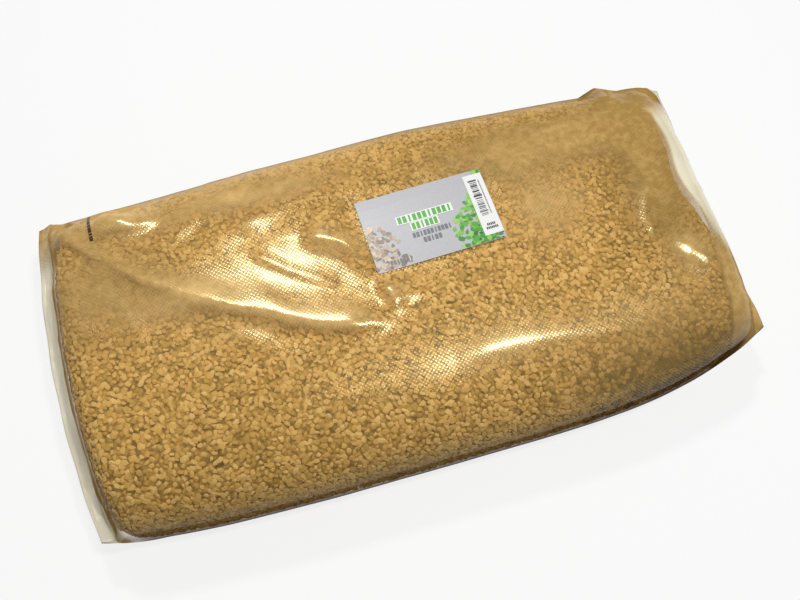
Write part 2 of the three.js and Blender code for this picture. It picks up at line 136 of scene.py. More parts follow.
def sections(x):
    """The cross-sections at stations x: a dict of arrays."""
    left = x < 0
    end = {name: np.where(left, *pair) for name, pair in ENDS.items()}
    inset = BAG_LENGTH / 2 - np.abs(x)
    inner = inset - SEAL_WIDTH
    rise = 1 - (1 - np.clip((inner - end["margin"]) / end["round"], 0, 1)) ** END_FULLNESS
    parting = SEAL_PARTING + (MARGIN_OPENING - SEAL_PARTING) * np.clip(inner / end["margin"], 0, 1)
    flat = FILM_THICKNESS + np.where(inner < 0, 0, parting)
    return {
        **end,
        "inset": inset,
        "outward": np.where(left, -1.0, 1.0),
        "rise": rise,
        "side_back": side_reach(x, "back"),
        "side_front": side_reach(x, "front"),
        "waist": end["seal_z"] + (WAIST_HEIGHT - end["seal_z"]) * rise,
        "up": flat + (BAG_HEIGHT - WAIST_HEIGHT - flat) * rise,
        "down": flat + (WAIST_HEIGHT + REST_SINK - flat) * rise,
    }


def half_outline(s, upper, depth, inset):
    """One half of each section as a polyline from the back edge to the front edge."""
    angle = math.pi * np.arange(OUTLINE_STEPS + 1) / OUTLINE_STEPS
    cos, sin = np.cos(angle), np.maximum(np.sin(angle), 0)
    power = TOP_SQUARENESS if upper else BOTTOM_SQUARENESS
    reach = s["up"] - depth if upper else depth - s["down"]
    edge = depth + inset * (1 - s["rise"])
    side = np.where(cos > 0, (s["side_back"] - edge)[:, None], (edge - s["side_front"])[:, None])
    y = side * np.abs(cos) ** (2 / power)
    z = s["waist"][:, None] + reach[:, None] * sin ** (2 / power)
    return y, np.maximum(z, depth[:, None])


def bag_surface(x, turns, depth=0.0, inset=0.0):
    """Points of the bag's surface, or of one that lies depth inside it, as rows over x and
    columns over turns. A turn runs 0 to 1 over the top from back to front, and on to 2
    back along the underside. Millimetres, in the source's frame."""
    x, turns = np.asarray(x, float), np.asarray(turns, float)
    depth = np.broadcast_to(depth, x.shape).astype(float)
    s = sections(x)
    out = np.zeros((len(x), len(turns), 3))
    for upper in (True, False):
        chosen = turns <= 1 if upper else turns > 1
        shares = turns[chosen] if upper else 2 - turns[chosen]
        y, z = half_outline(s, upper, depth, inset)
        steps = np.hypot(np.diff(y, axis=1), np.diff(z, axis=1))
        length = np.concatenate([np.zeros((len(x), 1)), np.cumsum(steps, 1)], 1)
        for i in range(len(x)):
            wanted = shares * length[i, -1]
            out[i, chosen, 1] = np.interp(wanted, length[i], y[i])
            out[i, chosen, 2] = np.interp(wanted, length[i], z[i])
    return shape_ends(out, x, s, depth)


def shape_ends(out, x, s, depth):
    """Swells, tilts and gathers the ends."""
    s = {k: v[:, None] for k, v in s.items()}
    y = out[..., 1]
    across = y / np.where(y > 0, s["side_back"], s["side_front"])
    pull = smooth(1 - s["inset"] / BOW_REACH)
    bow = s["outward"] * s["bow"] * (1 - across**2) + s["skew"] * across
    ripple = np.cos(math.pi * GATHER_COUNT * across + s["outward"])
    gather = GATHER_DEPTH * ripple * smooth(1 - s["inset"] / GATHER_REACH)
    tilt = s["tilt"] * across * (1 - s["rise"])
    out[..., 0] = (x * (1 - 2 * depth / BAG_LENGTH))[:, None] + bow * pull + CENTRE_SHIFT
    out[..., 2] = np.maximum(out[..., 2] + tilt + gather, depth[:, None])
    return out


def top_height(x, y):
    """The height of the bag's top over a point of the source's frame."""
    s = sections(np.atleast_1d(np.asarray(x, float)))
    y = np.atleast_1d(np.asarray(y, float))
    across = np.clip(np.abs(y) / np.where(y > 0, s["side_back"], s["side_front"]), 0, 1)
    crown = (1 - across**TOP_SQUARENESS) ** (1 / TOP_SQUARENESS)
    return s["waist"] + s["up"] * crown


def ring_turns(over, under, closed=False):
    """Turns over the top and back underneath, with the first one again or not."""
    return np.concatenate([np.linspace(0, 1, over, False), 1 + np.linspace(0, 1, under, closed)])


def crowd(t, amount):
    return t - amount * np.sin(TAU * t) / TAU


def spread(first, last, count, amount):
    """Stations that lie closer together towards both ends."""
    return first + (last - first) * crowd(np.linspace(0, 1, count), amount)


def unit(vectors):
    return vectors / np.linalg.norm(vectors, axis=1)[:, None]


def soft_noise(points, wavelength, seed):
    """Smooth noise from about -1 to 1: a sum of waves in fixed random directions."""
    rng = np.random.default_rng(seed)
    way = unit(rng.normal(size=(NOISE_WAVES, 3)))
    rate = TAU / wavelength * rng.uniform(0.6, 1.5, NOISE_WAVES)
    phase = rng.uniform(0, TAU, NOISE_WAVES)
    flat = points.reshape(-1, 3)
    total = sum(np.sin(flat @ way[i] * rate[i] + phase[i]) for i in range(NOISE_WAVES))
    return (total / math.sqrt(NOISE_WAVES)).reshape(points.shape[:-1])


# Meshes and materials


def add_object(name, data):
    obj = bpy.data.objects.new(name, data)
    bpy.context.scene.collection.objects.link(obj)
    return obj


def new_object(name, points, faces, smooth_faces=True):
    """A mesh object from points in millimetres."""
    mesh = bpy.data.meshes.new(name)
    mesh.from_pydata((np.asarray(points) * MM).tolist(), [], faces)
    mesh.shade_smooth() if smooth_faces else mesh.shade_flat()
    mesh.update()
    return add_object(name, mesh)


def add_values(obj, name, values):
    layer = obj.data.attributes.new(name, "FLOAT", "POINT")
    layer.data.foreach_set("value", np.asarray(values, np.float32).ravel())


def grid_faces(rows, columns, wrap=False):
    """Four-sided faces of a grid of points, closed round its columns if it wraps."""
    a = np.arange(rows - 1)[:, None] * columns
    around = np.arange(columns if wrap else columns - 1)[None]
    nxt = (around + 1) % columns
    quads = np.stack([a + around, a + nxt, a + columns + nxt, a + columns + around], -1)
    return quads.reshape(-1, 4).tolist()


def finish_piece(obj, material, slot, *replaced):
    """Gives a piece its material and says where it belongs in the frame."""
    obj.data.materials.append(material)
    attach(obj, "root")
    if replaced:
        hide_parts(*replaced)
    return obj


class Nodes:
    """A node tree that begins with its output, and short ways to add nodes to it."""

    def __init__(self, owner, output):
        owner.use_nodes = True
        self.tree = owner.node_tree
        self.tree.nodes.clear()
        self.out = self.node(output)

    def put(self, value, socket):
        """Links an output to a socket, or sets a constant on it."""
        if isinstance(value, bpy.types.NodeSocket):
            self.tree.links.new(value, socket)
        else:
            socket.default_value = value

    def node(self, kind, **values):
        made = self.tree.nodes.new("ShaderNode" + kind)
        for key, value in values.items():
            self.put(value, made.inputs[key])
        return made

    def texture(self, kind, output, **values):
        place = self.node("TexCoord").outputs["Object"]
        return self.node(kind, Vector=place, **values).outputs[output]

    def noise(self, scale, detail=3.0, roughness=0.5):
        return self.texture("TexNoise", "Fac", Scale=scale, Detail=detail, Roughness=roughness)

    def cells(self, scale):
        return self.texture("TexVoronoi", "Distance", Scale=scale)

    def attribute(self, name):
        made = self.node("Attribute")
        made.attribute_name = name
        return made.outputs["Fac"]

    def math(self, operation, a, b=0.0, clamp=False):
        made = self.node("Math")
        made.operation = operation
        made.use_clamp = clamp
        self.put(a, made.inputs[0])
        self.put(b, made.inputs[1])
        return made.outputs[0]

    plus = partialmethod(math, "ADD")
    minus = partialmethod(math, "SUBTRACT")
    times = partialmethod(math, "MULTIPLY")
    least = partialmethod(math, "MINIMUM")
    greatest = partialmethod(math, "MAXIMUM")

    def ramp(self, factor, *stops):
        made = self.node("ValToRGB", Fac=factor)
        stop_list = made.color_ramp.elements
        while len(stop_list) < len(stops):
            stop_list.new(0.5)
        for stop, (place, colour) in zip(stop_list, stops):
            stop.position = place
            stop.color = rgba(colour)
        return made.outputs["Color"]

    def mix(self, factor, a, b):
        made = self.node("Mix")
        made.data_type = "RGBA"
        for key, value in ((0, factor), (6, a), (7, b)):
            self.put(value, made.inputs[key])
        return made.outputs[2]

    def blend(self, factor, first, second):
        """Mixes two shader nodes into the output."""
        both = self.node("MixShader")
        for socket, source in zip(both.inputs, (factor, first.outputs[0], second.outputs[0])):
            self.put(source, socket)
        self.put(both.outputs[0], self.out.inputs[0])


class Shader(Nodes):
    """A material with one Principled shader."""

    def __init__(self, name, roughness, **values):
        self.material = bpy.data.materials.new(name)
        super().__init__(self.material, "OutputMaterial")
        self.main = self.node("BsdfPrincipled", Roughness=roughness, **values)
        self.put(self.main.outputs[0], self.out.inputs[0])

    def bump(self, height, strength, distance):
        made = self.node("Bump", Height=height, Strength=strength, Distance=distance)
        self.put(made.outputs[0], self.main.inputs["Normal"])

    def colour(self, source):
        self.put(source, self.main.inputs["Base Color"])


def linear(value):
    """The linear strength of one channel, from how it looks on a screen."""
    return value / 12.92 if value <= 0.04045 else ((value + 0.055) / 1.055) ** 2.4


def rgba(colour):
    """A linear colour with alpha, from red, green and blue as they look on a screen."""
    return (*(linear(c) for c in colour), 1.0)


# Granulate

GOLDEN = 1.618
SIGNS = list(product((-1, 1), repeat=2))
ICOSAHEDRON = np.array(
    [(s, t * GOLDEN, 0) for s, t in SIGNS]
    + [(0, s, t * GOLDEN) for s, t in SIGNS]
    + [(s * GOLDEN, 0, t) for s, t in SIGNS],
    float,
)
ICOSAHEDRON /= np.linalg.norm(ICOSAHEDRON[0])
CHIP_CORNERS = len(ICOSAHEDRON)


def hull_faces(points):
    """Triangles of the icosahedron: every three corners that are one edge apart."""
    edge = 1.1
    near = np.linalg.norm(points[:, None] - points[None], axis=2) < edge
    faces = []
    for i, j, k in combinations(range(CHIP_CORNERS), 3):
        if near[i, j] and near[j, k] and near[i, k]:
            a, b, c = points[[i, j, k]]
            outward = np.dot(np.cross(b - a, c - a), a + b + c) > 0
            faces.append((i, j, k) if outward else (i, k, j))
    return np.array(faces)


CHIP_FACES = hull_faces(ICOSAHEDRON)
BED_DEPTH = 4.2
SCATTER_DEPTH = 4.0
END_DEPTH = 4.4  # depth of the granulate's surface at the very ends
CHIP_COVER = 0.8  # least depth of a chip under the film's outer face
LOWEST_CHIP = 1.0
FILL_INSET = 12
RIGHT_SPACE = 22  # how far the granulate stops short at the right
TRIES_PER_CHIP = 5.5
UNDER_HEIGHT = 6  # chips lie wider apart below it
UNDER_SPACING = 1.35
WOOD_STOPS = (0.0, 0.07, 0.32, 0.72, 1.0)


def fill_surface(count, turns, depth):
    """The granulate's surface: it stays clear of the film at the very ends."""
    first, last = (BAG_LENGTH / 2 - SEAL_WIDTH - margin for margin in ENDS["margin"])
    x = spread(-first, last, count, 0.5)
    rise = sections(x)["rise"]
    points = bag_surface(x, turns, depth * rise + END_DEPTH * (1 - rise), FILL_INSET)
    y = points[..., 1]
    wavy = 1 + 0.16 * np.sin(y / 17) + 0.14 * np.sin(y / 41 + 1)
    empty = step_up(points[..., 0], 300, 90) * step_up(y, -110, 120)
    points[..., 0] -= RIGHT_SPACE * wavy * empty * (1 - 0.5 * step_up(y, 80, 60))
    return points


def make_bed():
    """The dark lower layer of grains that shows between the chips: painted shade between them."""
    turns = ring_turns(100, 50)
    points = fill_surface(230, turns, BED_DEPTH)
    rows, around = points.shape[:2]
    faces = grid_faces(rows, around, wrap=True)
    faces.append(list(range(around))[::-1])
    faces.append([(rows - 1) * around + i for i in range(around)])
    lumps = 0.7 * soft_noise(points, 9, 5) * (points[..., 2] > 8)
    points[..., 2] -= np.maximum(lumps, -0.4)
    return new_object("granulate_bed", points.reshape(-1, 3), faces)


def scattered(spacing):
    """Evenly scattered places on the granulate, with their outward normals."""
    rng = np.random.default_rng(21)
    grid = fill_surface(260, ring_turns(121, 80, True), SCATTER_DEPTH)
    a, b, c, d = grid[:-1, :-1], grid[:-1, 1:], grid[1:, 1:], grid[1:, :-1]
    cross = np.cross(c - a, b - d).reshape(-1, 3)
    area = np.linalg.norm(cross, axis=1) / 2
    corners = np.stack([a, b, c, d], -2).reshape(-1, 4, 3)
    tries = int(area.sum() / spacing**2 * TRIES_PER_CHIP)
    face = rng.choice(len(area), tries, p=area / area.sum())
    u, v = rng.random((2, tries, 1))
    q = corners[face]
    place = (q[:, 0] * (1 - u) + q[:, 3] * u) * (1 - v) + (q[:, 1] * (1 - u) + q[:, 2] * u) * v
    normal = -cross[face] / (2 * area[face, None] + 1e-9)
    centre = np.array([CENTRE_SHIFT, 0, 75.0])
    normal *= np.sign(np.einsum("ij,ij->i", normal, place - centre))[:, None]
    keep, taken = [], {}
    cells = np.floor(place / spacing).astype(int)
    around = list(product((-1, 0, 1), repeat=3))
    for n, (p, (cx, cy, cz)) in enumerate(zip(place.tolist(), cells.tolist())):
        reach = spacing * (UNDER_SPACING if p[2] < UNDER_HEIGHT else 1)
        near = (o for i, j, k in around for o in taken.get((cx + i, cy + j, cz + k), ()))
        if all(math.dist(p, o) >= reach for o in near):
            taken.setdefault((cx, cy, cz), []).append(p)
            keep.append(n)
    return place[keep], normal[keep]


def chip_points(place, normal, settings):
    """The corners of each chip, set just below the film."""
    rng = np.random.default_rng(22)
    count = len(place)
    size = np.empty((count, 3))
    size[:, 0] = settings.chip_length * rng.uniform(0.72, 1.3, count)
    size[:, 1] = size[:, 0] * rng.uniform(0.55, 0.95, count)
    size[:, 2] = settings.chip_length * rng.uniform(0.42, 0.66, count)
    shape = np.sign(ICOSAHEDRON) * np.abs(ICOSAHEDRON) ** 0.8
    local = shape * size[:, None] / 2 * rng.uniform(0.74, 1.14, (count, CHIP_CORNERS, 1))
    local += rng.normal(0, 0.28, (count, CHIP_CORNERS, 3))
    up = unit(normal + rng.normal(0, 0.17, (count, 3)))
    side = unit(np.cross(up, rng.normal(size=(count, 3))))
    axes = np.stack([side, np.cross(up, side), up], 1)
    turned = np.einsum("nij,njk->nik", local, axes)
    height = np.einsum("nij,nj->ni", turned, normal).max(1)
    sink = SCATTER_DEPTH - CHIP_COVER - rng.uniform(0, 1.5, count) - height
    centre = place + normal * sink[:, None]
    points = centre[:, None] + turned
    points[..., 2] = np.maximum(points[..., 2], LOWEST_CHIP)
    return points


def make_chips(settings):
    """The loose chips, in pieces from left to right."""
    place, normal = scattered(settings.spacing)
    points = chip_points(place, normal, settings)
    tones = np.random.default_rng(23).random(len(place))
    # Chips at the front towards the right are made darker: painted shade
    tones -= 0.7 * painted_front_shade(place[:, 0], place[:, 1])
    edges = np.linspace(-410, 410, settings.piece_count + 1)
    made = []
    for i in range(settings.piece_count):
        chosen = (place[:, 0] >= edges[i]) & (place[:, 0] < edges[i + 1])
        own = points[chosen]
        faces = CHIP_FACES[None] + CHIP_CORNERS * np.arange(len(own))[:, None, None]
        name = f"granulate_chips_{i + 1}"
        obj = new_object(name, own.reshape(-1, 3), faces.reshape(-1, 3).tolist(), False)
        add_values(obj, "tone", np.repeat(tones[chosen], CHIP_CORNERS))
        made.append(obj)
    return made


def chip_material(settings):
    s = Shader("wood_granulate", 0.82)
    tone = s.plus(s.times(s.attribute("tone"), 0.72), s.times(s.noise(420, 4, 0.6), 0.28))
    # The lowest stop, the gap colour, is painted shade; the chips darkened at the front reach it
    woods = (settings.gap, settings.dark, settings.middle, settings.light, settings.pale)
    s.colour(s.ramp(tone, *zip(WOOD_STOPS, woods)))
    s.bump(s.noise(900, 3, 0.6), 0.35, 0.0004)
    return s.material


def bed_material(settings):
    s = Shader("granulate_shade", 0.9)
    cells = s.cells(170)
    # Grain cells in darker wood colours down to the gap colour: painted shade in the depth between the
    # chips
    s.colour(s.ramp(cells, (0.0, settings.middle), (0.45, settings.dark), (0.9, settings.gap)))
    s.bump(s.times(cells, -1.0), 0.8, 0.002)
    return s.material


# Film

FILM_STATIONS = 262
FILM_COLUMNS = 130

# Creases as runs of x, y points in the source's frame, with height, width towards the
# back and width towards the front
CREASES = (
    ([(-392, 184), (-360, 140), (-332, 107), (-283, 59), (-245, 29), (-206, 7), (-167, -12),
      (-128, -33), (-99, -46), (-68, -54), (-47, -56), (-29, -53)], 7.5, 30, 9),
    ([(-29, -53), (-24, -38), (-28, -23), (-32, -5), (-37, 11), (-60, 42), (-105, 65)], 6.0, 22, 9),
    ([(-163, 58), (-116, 19), (-73, -10)], 1.8, 9, 5),
    ([(315, 34), (295, 18), (283, -3), (276, -20), (278, -36)], 3.0, 10, 8),
    ([(296, 158), (308, 140), (322, 130)], 2.0, 5, 4),
    ([(330, 132), (340, 112), (343, 92)], 2.0, 5, 4),
    ([(300, 60), (318, 20)], 1.5, 6, 5),
    ([(19, -118), (70, -114), (136, -120), (223, -137), (280, -145), (350, -152)], 2.2, 22, 16),
)
CREASE_POINTS = 90
LONG_HEIGHT = 7  # only the long crease is higher, and it grows sharper along its run


def crease_line(points):
    """Evenly spaced points on a smooth curve through the given ones."""
    p = np.array(points, float)
    t = np.concatenate([[0], np.cumsum(np.linalg.norm(np.diff(p, axis=0), axis=1))])
    fine = np.linspace(0, t[-1], CREASE_POINTS)
    line = np.stack([np.interp(fine, t, p[:, k]) for k in (0, 1)], -1)
    for _ in range(6):
        line[1:-1] = (line[:-2] + 2 * line[1:-1] + line[2:]) / 4
    return line


def crease_lift(x, y):
    """How far the creases raise the film over points of the top face."""
    total = np.zeros_like(x)
    for points, height, back, front in CREASES:
        line = crease_line(points)
        dx, dy = x[..., None] - line[:, 0], y[..., None] - line[:, 1]
        distance = np.hypot(dx, dy)
        nearest = distance.argmin(-1)
        place = nearest[..., None]
        away, above = (np.take_along_axis(a, place, -1)[..., 0] for a in (distance, dy))
        width = np.where(above > 0, back, front)
        share = nearest / (CREASE_POINTS - 1)
        fade = np.clip(np.minimum(8 * (1 - share) + 0.15, 8 * share + 0.15), 0, 1)
        sharp = 1.15 + 0.75 * share if height > LONG_HEIGHT else 1.5
        total = np.maximum(total, height * fade * np.exp(-((away / width) ** sharp)))
    return total


def turned_frame(x, y, middle_x, middle_y, angle):
    """The same points as seen from a middle, along and across a turned way."""
    dx, dy = x - middle_x, y - middle_y
    cos, sin = math.cos(angle), math.sin(angle)
    return dx * cos + dy * sin, dy * cos - dx * sin


def label_distance(x, y):
    """How far a point lies outside the label, 0 on it."""
    u, v = turned_frame(x, y, *LABEL_MIDDLE, LABEL_TURN)
    outside = (np.maximum(abs(w) - size / 2, 0) for w, size in zip((u, v), LABEL_SIZE))
    return np.hypot(*outside)


# Where the film stands off the granulate and blurs it: x, y, reach along, reach across,
# strength, and how light it is painted there: painted light and shade on the haze
HAZE = (
    (-327, 61, 60, 50, 0.6, 0.5),
    (-232, 28, 62, 20, 0.75, 0.7),
    (-150, 137, 100, 22, 0.7, 0.8),
    (190, 112, 110, 36, 0.95, 0.25),
    (175, 30, 40, 40, 0.5, 0.9),
    (305, 45, 42, 95, 0.85, 0.0),
    (320, 120, 40, 40, 0.6, -0.2),
    (-170, 15, 60, 24, 0.4, 0.8),
    (240, -125, 120, 30, 0.25, 0.5),
    (70, -112, 52, 15, 0.55, 0.9),
    (-76, 42, 50, 20, 0.45, 1.0),
    (-272, 135, 40, 18, 0.2, 1.0),
    (311, -66, 22, 20, 0.5, 0.8),
    (-120, -28, 80, 9, 0.4, 0.9),
)


def haze_over(x, y):
    """The haze over points of the top face, and how light it is painted: painted light and shade."""
    total, light = np.zeros_like(x), np.zeros_like(x)
    for *place, strength, tone in HAZE:
        fall = strength * hump(x, y, *place)
        total, light = total + fall, light + fall * tone
    return total, light / (total + 1e-6)


# Flat facets pulled into the film: x, y, turn of the facet's steepest way, half its
# length that way, half its width across, and its slope
FACETS = (
    (-312, 146, 105, 20, 16, 0.60),
    (-292, 136, 108, 20, 18, 0.50),
    (-266, 130, 114, 14, 22, 0.38),
    (-222, 112, 121, 15, 30, 0.20),
    (-145, 95, 112, 14, 36, 0.14),
    (-178, -34, 229, 20, 46, 0.115),
    (304, -60, 39, 9, 14, 0.2),
    (322, -80, 39, 7, 12, 0.24),
    (330, -100, 60, 5, 14, 0.35),
)

# Where small sharp wrinkles crumple the film: x, y, reach along, reach across, strength
CRUMPLES = (
    (348, 152, 26, 34, 1.0),
    (322, -70, 34, 42, 0.6),
    (-300, 140, 30, 16, 0.5),
    (-362, -150, 12, 30, 0.7),
)

# A fold that sticks out of the back edge: its place along the bag, half its width and reach
BACK_FOLD = (301, 23, 10)
# How high the back corners stand up, at what distance from the ends, and its reach
CORNER_LIFT = (9, 19, 11)
# The blurred film along the left seal: strength, distance from the end, and reach
LEFT_RIM = (0.95, 23, 8)
LABEL_CLEARANCE = 22  # the film is free this far from the label


def facet_lift(x, y):
    """How far the pulled facets raise or sink the film."""
    total = np.zeros_like(x)
    for *place, turn, length, width, slope in FACETS:
        u, v = turned_frame(x, y, *place, math.radians(turn))
        total += slope * (u + length * 0.7) * hump(u, v, 0, 0, length, width)
    return total


def slackness(x, y):
    """How loosely the film lies, 0 to 1: slack at the back left and at the right end."""
    back = np.maximum(hump(x, y, -180, 70, 190, 90), hump(x, y, 350, 150, 35, 45))
    right = 0.7 * hump(x, y, 345, -40, 55, 170)
    taut = hump(x, y, -76, 40, 52, 24)
    return np.clip(back + right, 0, 1) * (1 - 0.75 * taut)


def crumple_over(x, y):
    return sum(strength * hump(x, y, *place) for *place, strength in CRUMPLES)


def painted_front_shade(x, y):
    """Painted shade: how much darker the front side is made towards the right, 0 to 1."""
    return step_up(x, 60, 220) * step_up(-y, 120, 65)


def film_points():
    """The film's grid of points, with its creases, seals and gathers, and the values that
    its material reads."""
    seal = BAG_LENGTH / 2 - np.array([0, 2, 4, SEAL_WIDTH])
    last = seal[-1] - 1.5
    x = np.concatenate([-seal, spread(-last, last, FILM_STATIONS, 0.42), seal[::-1]])
    shares = crowd(np.linspace(0, 1, FILM_COLUMNS, False), 0.15)
    turns = np.concatenate([shares, 1 + shares])
    points = bag_surface(x, turns)
    s = sections(x)
    on_top = smooth(5 * np.minimum(turns, 1 - turns)) * (turns < 1) * s["rise"][:, None]
    sx, sy = points[..., 0] - CENTRE_SHIFT, points[..., 1].copy()  # in the source's frame
    clear = smooth(label_distance(sx, sy) / LABEL_CLEARANCE)
    lift = (crease_lift(sx, sy) + facet_lift(sx, sy)) * on_top * clear
    slack = slackness(sx, sy)
    wave = np.maximum(0, 1.2 + soft_noise(points, 150, 31)) * (0.4 + 0.9 * slack)
    wave += np.maximum(0, 1 + soft_noise(points, 46, 32)) * (0.05 + 0.55 * slack)
    above = step_up(points[..., 2], 4, 12) * s["rise"][:, None]
    above *= np.where(on_top > 0, clear, 1)
    normal = grid_normals(points)
    points += normal * (wave * above)[..., None]
    points[..., 2] += np.maximum(lift, -0.1)
    height, *place = CORNER_LIFT
    inset = s["inset"][:, None]
    points[..., 2] += height * bell(inset, *place) * step_up(sy, 115, 45) * (turns < 1)
    middle, half_width, reach = BACK_FOLD
    fold = np.maximum(0, 1 - np.abs(sx - middle) / half_width)
    points[..., 1] += reach * fold * step_up(sy, 110, 70)
    points += normal * end_pleats(points, s)[..., None]
    points[..., 2] = np.maximum(points[..., 2], 0)
    haze, light = haze_over(sx, sy)
    strength, *place = LEFT_RIM
    rim = strength * bell(inset, *place) * (sx < 0) * (turns < 1)
    full = step_up(inset - SEAL_WIDTH, s["margin"][:, None], 4)
    values = {
        "haze": np.maximum(haze * on_top, rim),
        "light": light,
        "ends": step_up(np.abs(sx), 345, 20),
        # painted shade on the front towards the right
        "painted_shade": painted_front_shade(sx, sy),
        "crumple": crumple_over(sx, sy) * (turns < 1),
        # how steep the film is, which paints shade on the bag's sides
        "painted_wall_shade": smooth((0.75 - np.abs(normal[..., 2])) / 0.45),
        "empty": np.broadcast_to(1 - full, sx.shape),
    }
    return points, values


def film_gap(points):
    """How far each point of the film is from the granulate, as a share from 0 to 1."""
    fill = fill_surface(260, ring_turns(120, 60), SCATTER_DEPTH).reshape(-1, 3)
    tree = KDTree(len(fill))
    for i, place in enumerate(fill):
        tree.insert(place, i)
    tree.balance()
    distance = np.array([tree.find(place)[2] for place in points.reshape(-1, 3)])
    return step_up(distance.reshape(points.shape[:-1]), 6, 8)


def golden_corners(x, y):
    """Where the film looks like the granulate right up to the seals, 0 to 1."""
    left = step_up(-x, 345, 15) * step_up(y, 120, 45)
    back = step_up(x, 335, 10) * (1 - step_up(x, 376, 10)) * step_up(y, 100, 35)
    front = step_up(x, 335, 15) * step_up(-y, 20, 80)
    return np.maximum(left, np.maximum(back, front))


def make_film():
    """The film as one closed sheet."""
    points, values = film_points()
    values["gap"] = film_gap(points)
    x, y = points[..., 0], points[..., 1]
    right = step_up(x, 318, 15) * step_up(y, -130, 60)
    values["empty"] = np.maximum(values["empty"], right * smooth(2 * values["gap"] - 0.6))
    golden = golden_corners(x, y)
    values["empty"] *= 1 - golden
    values["haze"] = np.maximum(values["haze"], golden)
    rows, around = points.shape[:2]
    faces = grid_faces(rows, around, wrap=True)
    under = [(around - k) % around for k in range(FILM_COLUMNS)]
    caps = [(i, i + 1, under[i + 1], under[i]) for i in range(1, FILM_COLUMNS - 1)]
    caps = [(0, 1, under[1]), *caps, (FILM_COLUMNS - 1, FILM_COLUMNS, FILM_COLUMNS + 1)]
    faces += [cap[::-1] for cap in caps]
    faces += [[(rows - 1) * around + k for k in cap] for cap in caps]
    obj = new_object("film_skin", points.reshape(-1, 3), faces)
    for name, value in values.items():
        add_values(obj, name, value)
    add_sheet_coords(obj, points)
    return obj


def grid_normals(points):
    """Outward normals of the film's grid."""
    along = np.gradient(points, axis=0)
    ring = np.concatenate([points[:, -1:], points, points[:, :1]], 1)
    around = (ring[:, 2:] - ring[:, :-2]) / 2
    normal = np.cross(around, along)
    normal /= np.linalg.norm(normal, axis=-1)[..., None] + 1e-9
    return normal


def end_pleats(points, s):
    """Small sharp gathers that run in from the seals."""
    inset = s["inset"][:, None]
    fade = smooth(inset / 8) * smooth(1 - inset / 75)
    y = points[..., 1]
    phase = 0.6 * soft_noise(points, 120, 41)
    ridge = np.maximum(0, np.sin(y / 11 + 3 * phase)) ** 3 * 1.5
    ridge += np.maximum(0, np.sin(y / 5.3 + 5 * phase)) ** 3 * 0.5
    return ridge * fade


def add_sheet_coords(obj, points):
    """Lays the film out flat in metres: along the bag, and around its section."""
    rows, around = points.shape[:2]
    steps = np.linalg.norm(np.diff(points, axis=1), axis=-1)
    v = np.concatenate([np.zeros((rows, 1)), np.cumsum(steps, 1)], 1)
    u = points[..., 0]
    layer = obj.data.uv_layers.new(name="sheet")
    loops = np.empty(len(obj.data.loops), np.int32)
    obj.data.loops.foreach_get("vertex_index", loops)
    coords = np.stack([u.ravel()[loops], v.ravel()[loops]], -1) * MM
    layer.data.foreach_set("uv", coords.astype(np.float32).ravel())


def embossed_dots(s, pitch):
    """A mesh of soft dots on the film laid flat, 0 to 1."""
    uv = s.node("UVMap")
    uv.uv_map = "sheet"
    scaled = s.node("Mapping", Vector=uv.outputs[0], Scale=(TAU / pitch,) * 3)
    parts = s.node("SeparateXYZ", Vector=scaled.outputs[0])
    waves = s.times(s.math("COSINE", parts.outputs[0]), s.math("COSINE", parts.outputs[1]))
    return s.times(s.minus(waves, 0.05), 3, clamp=True)


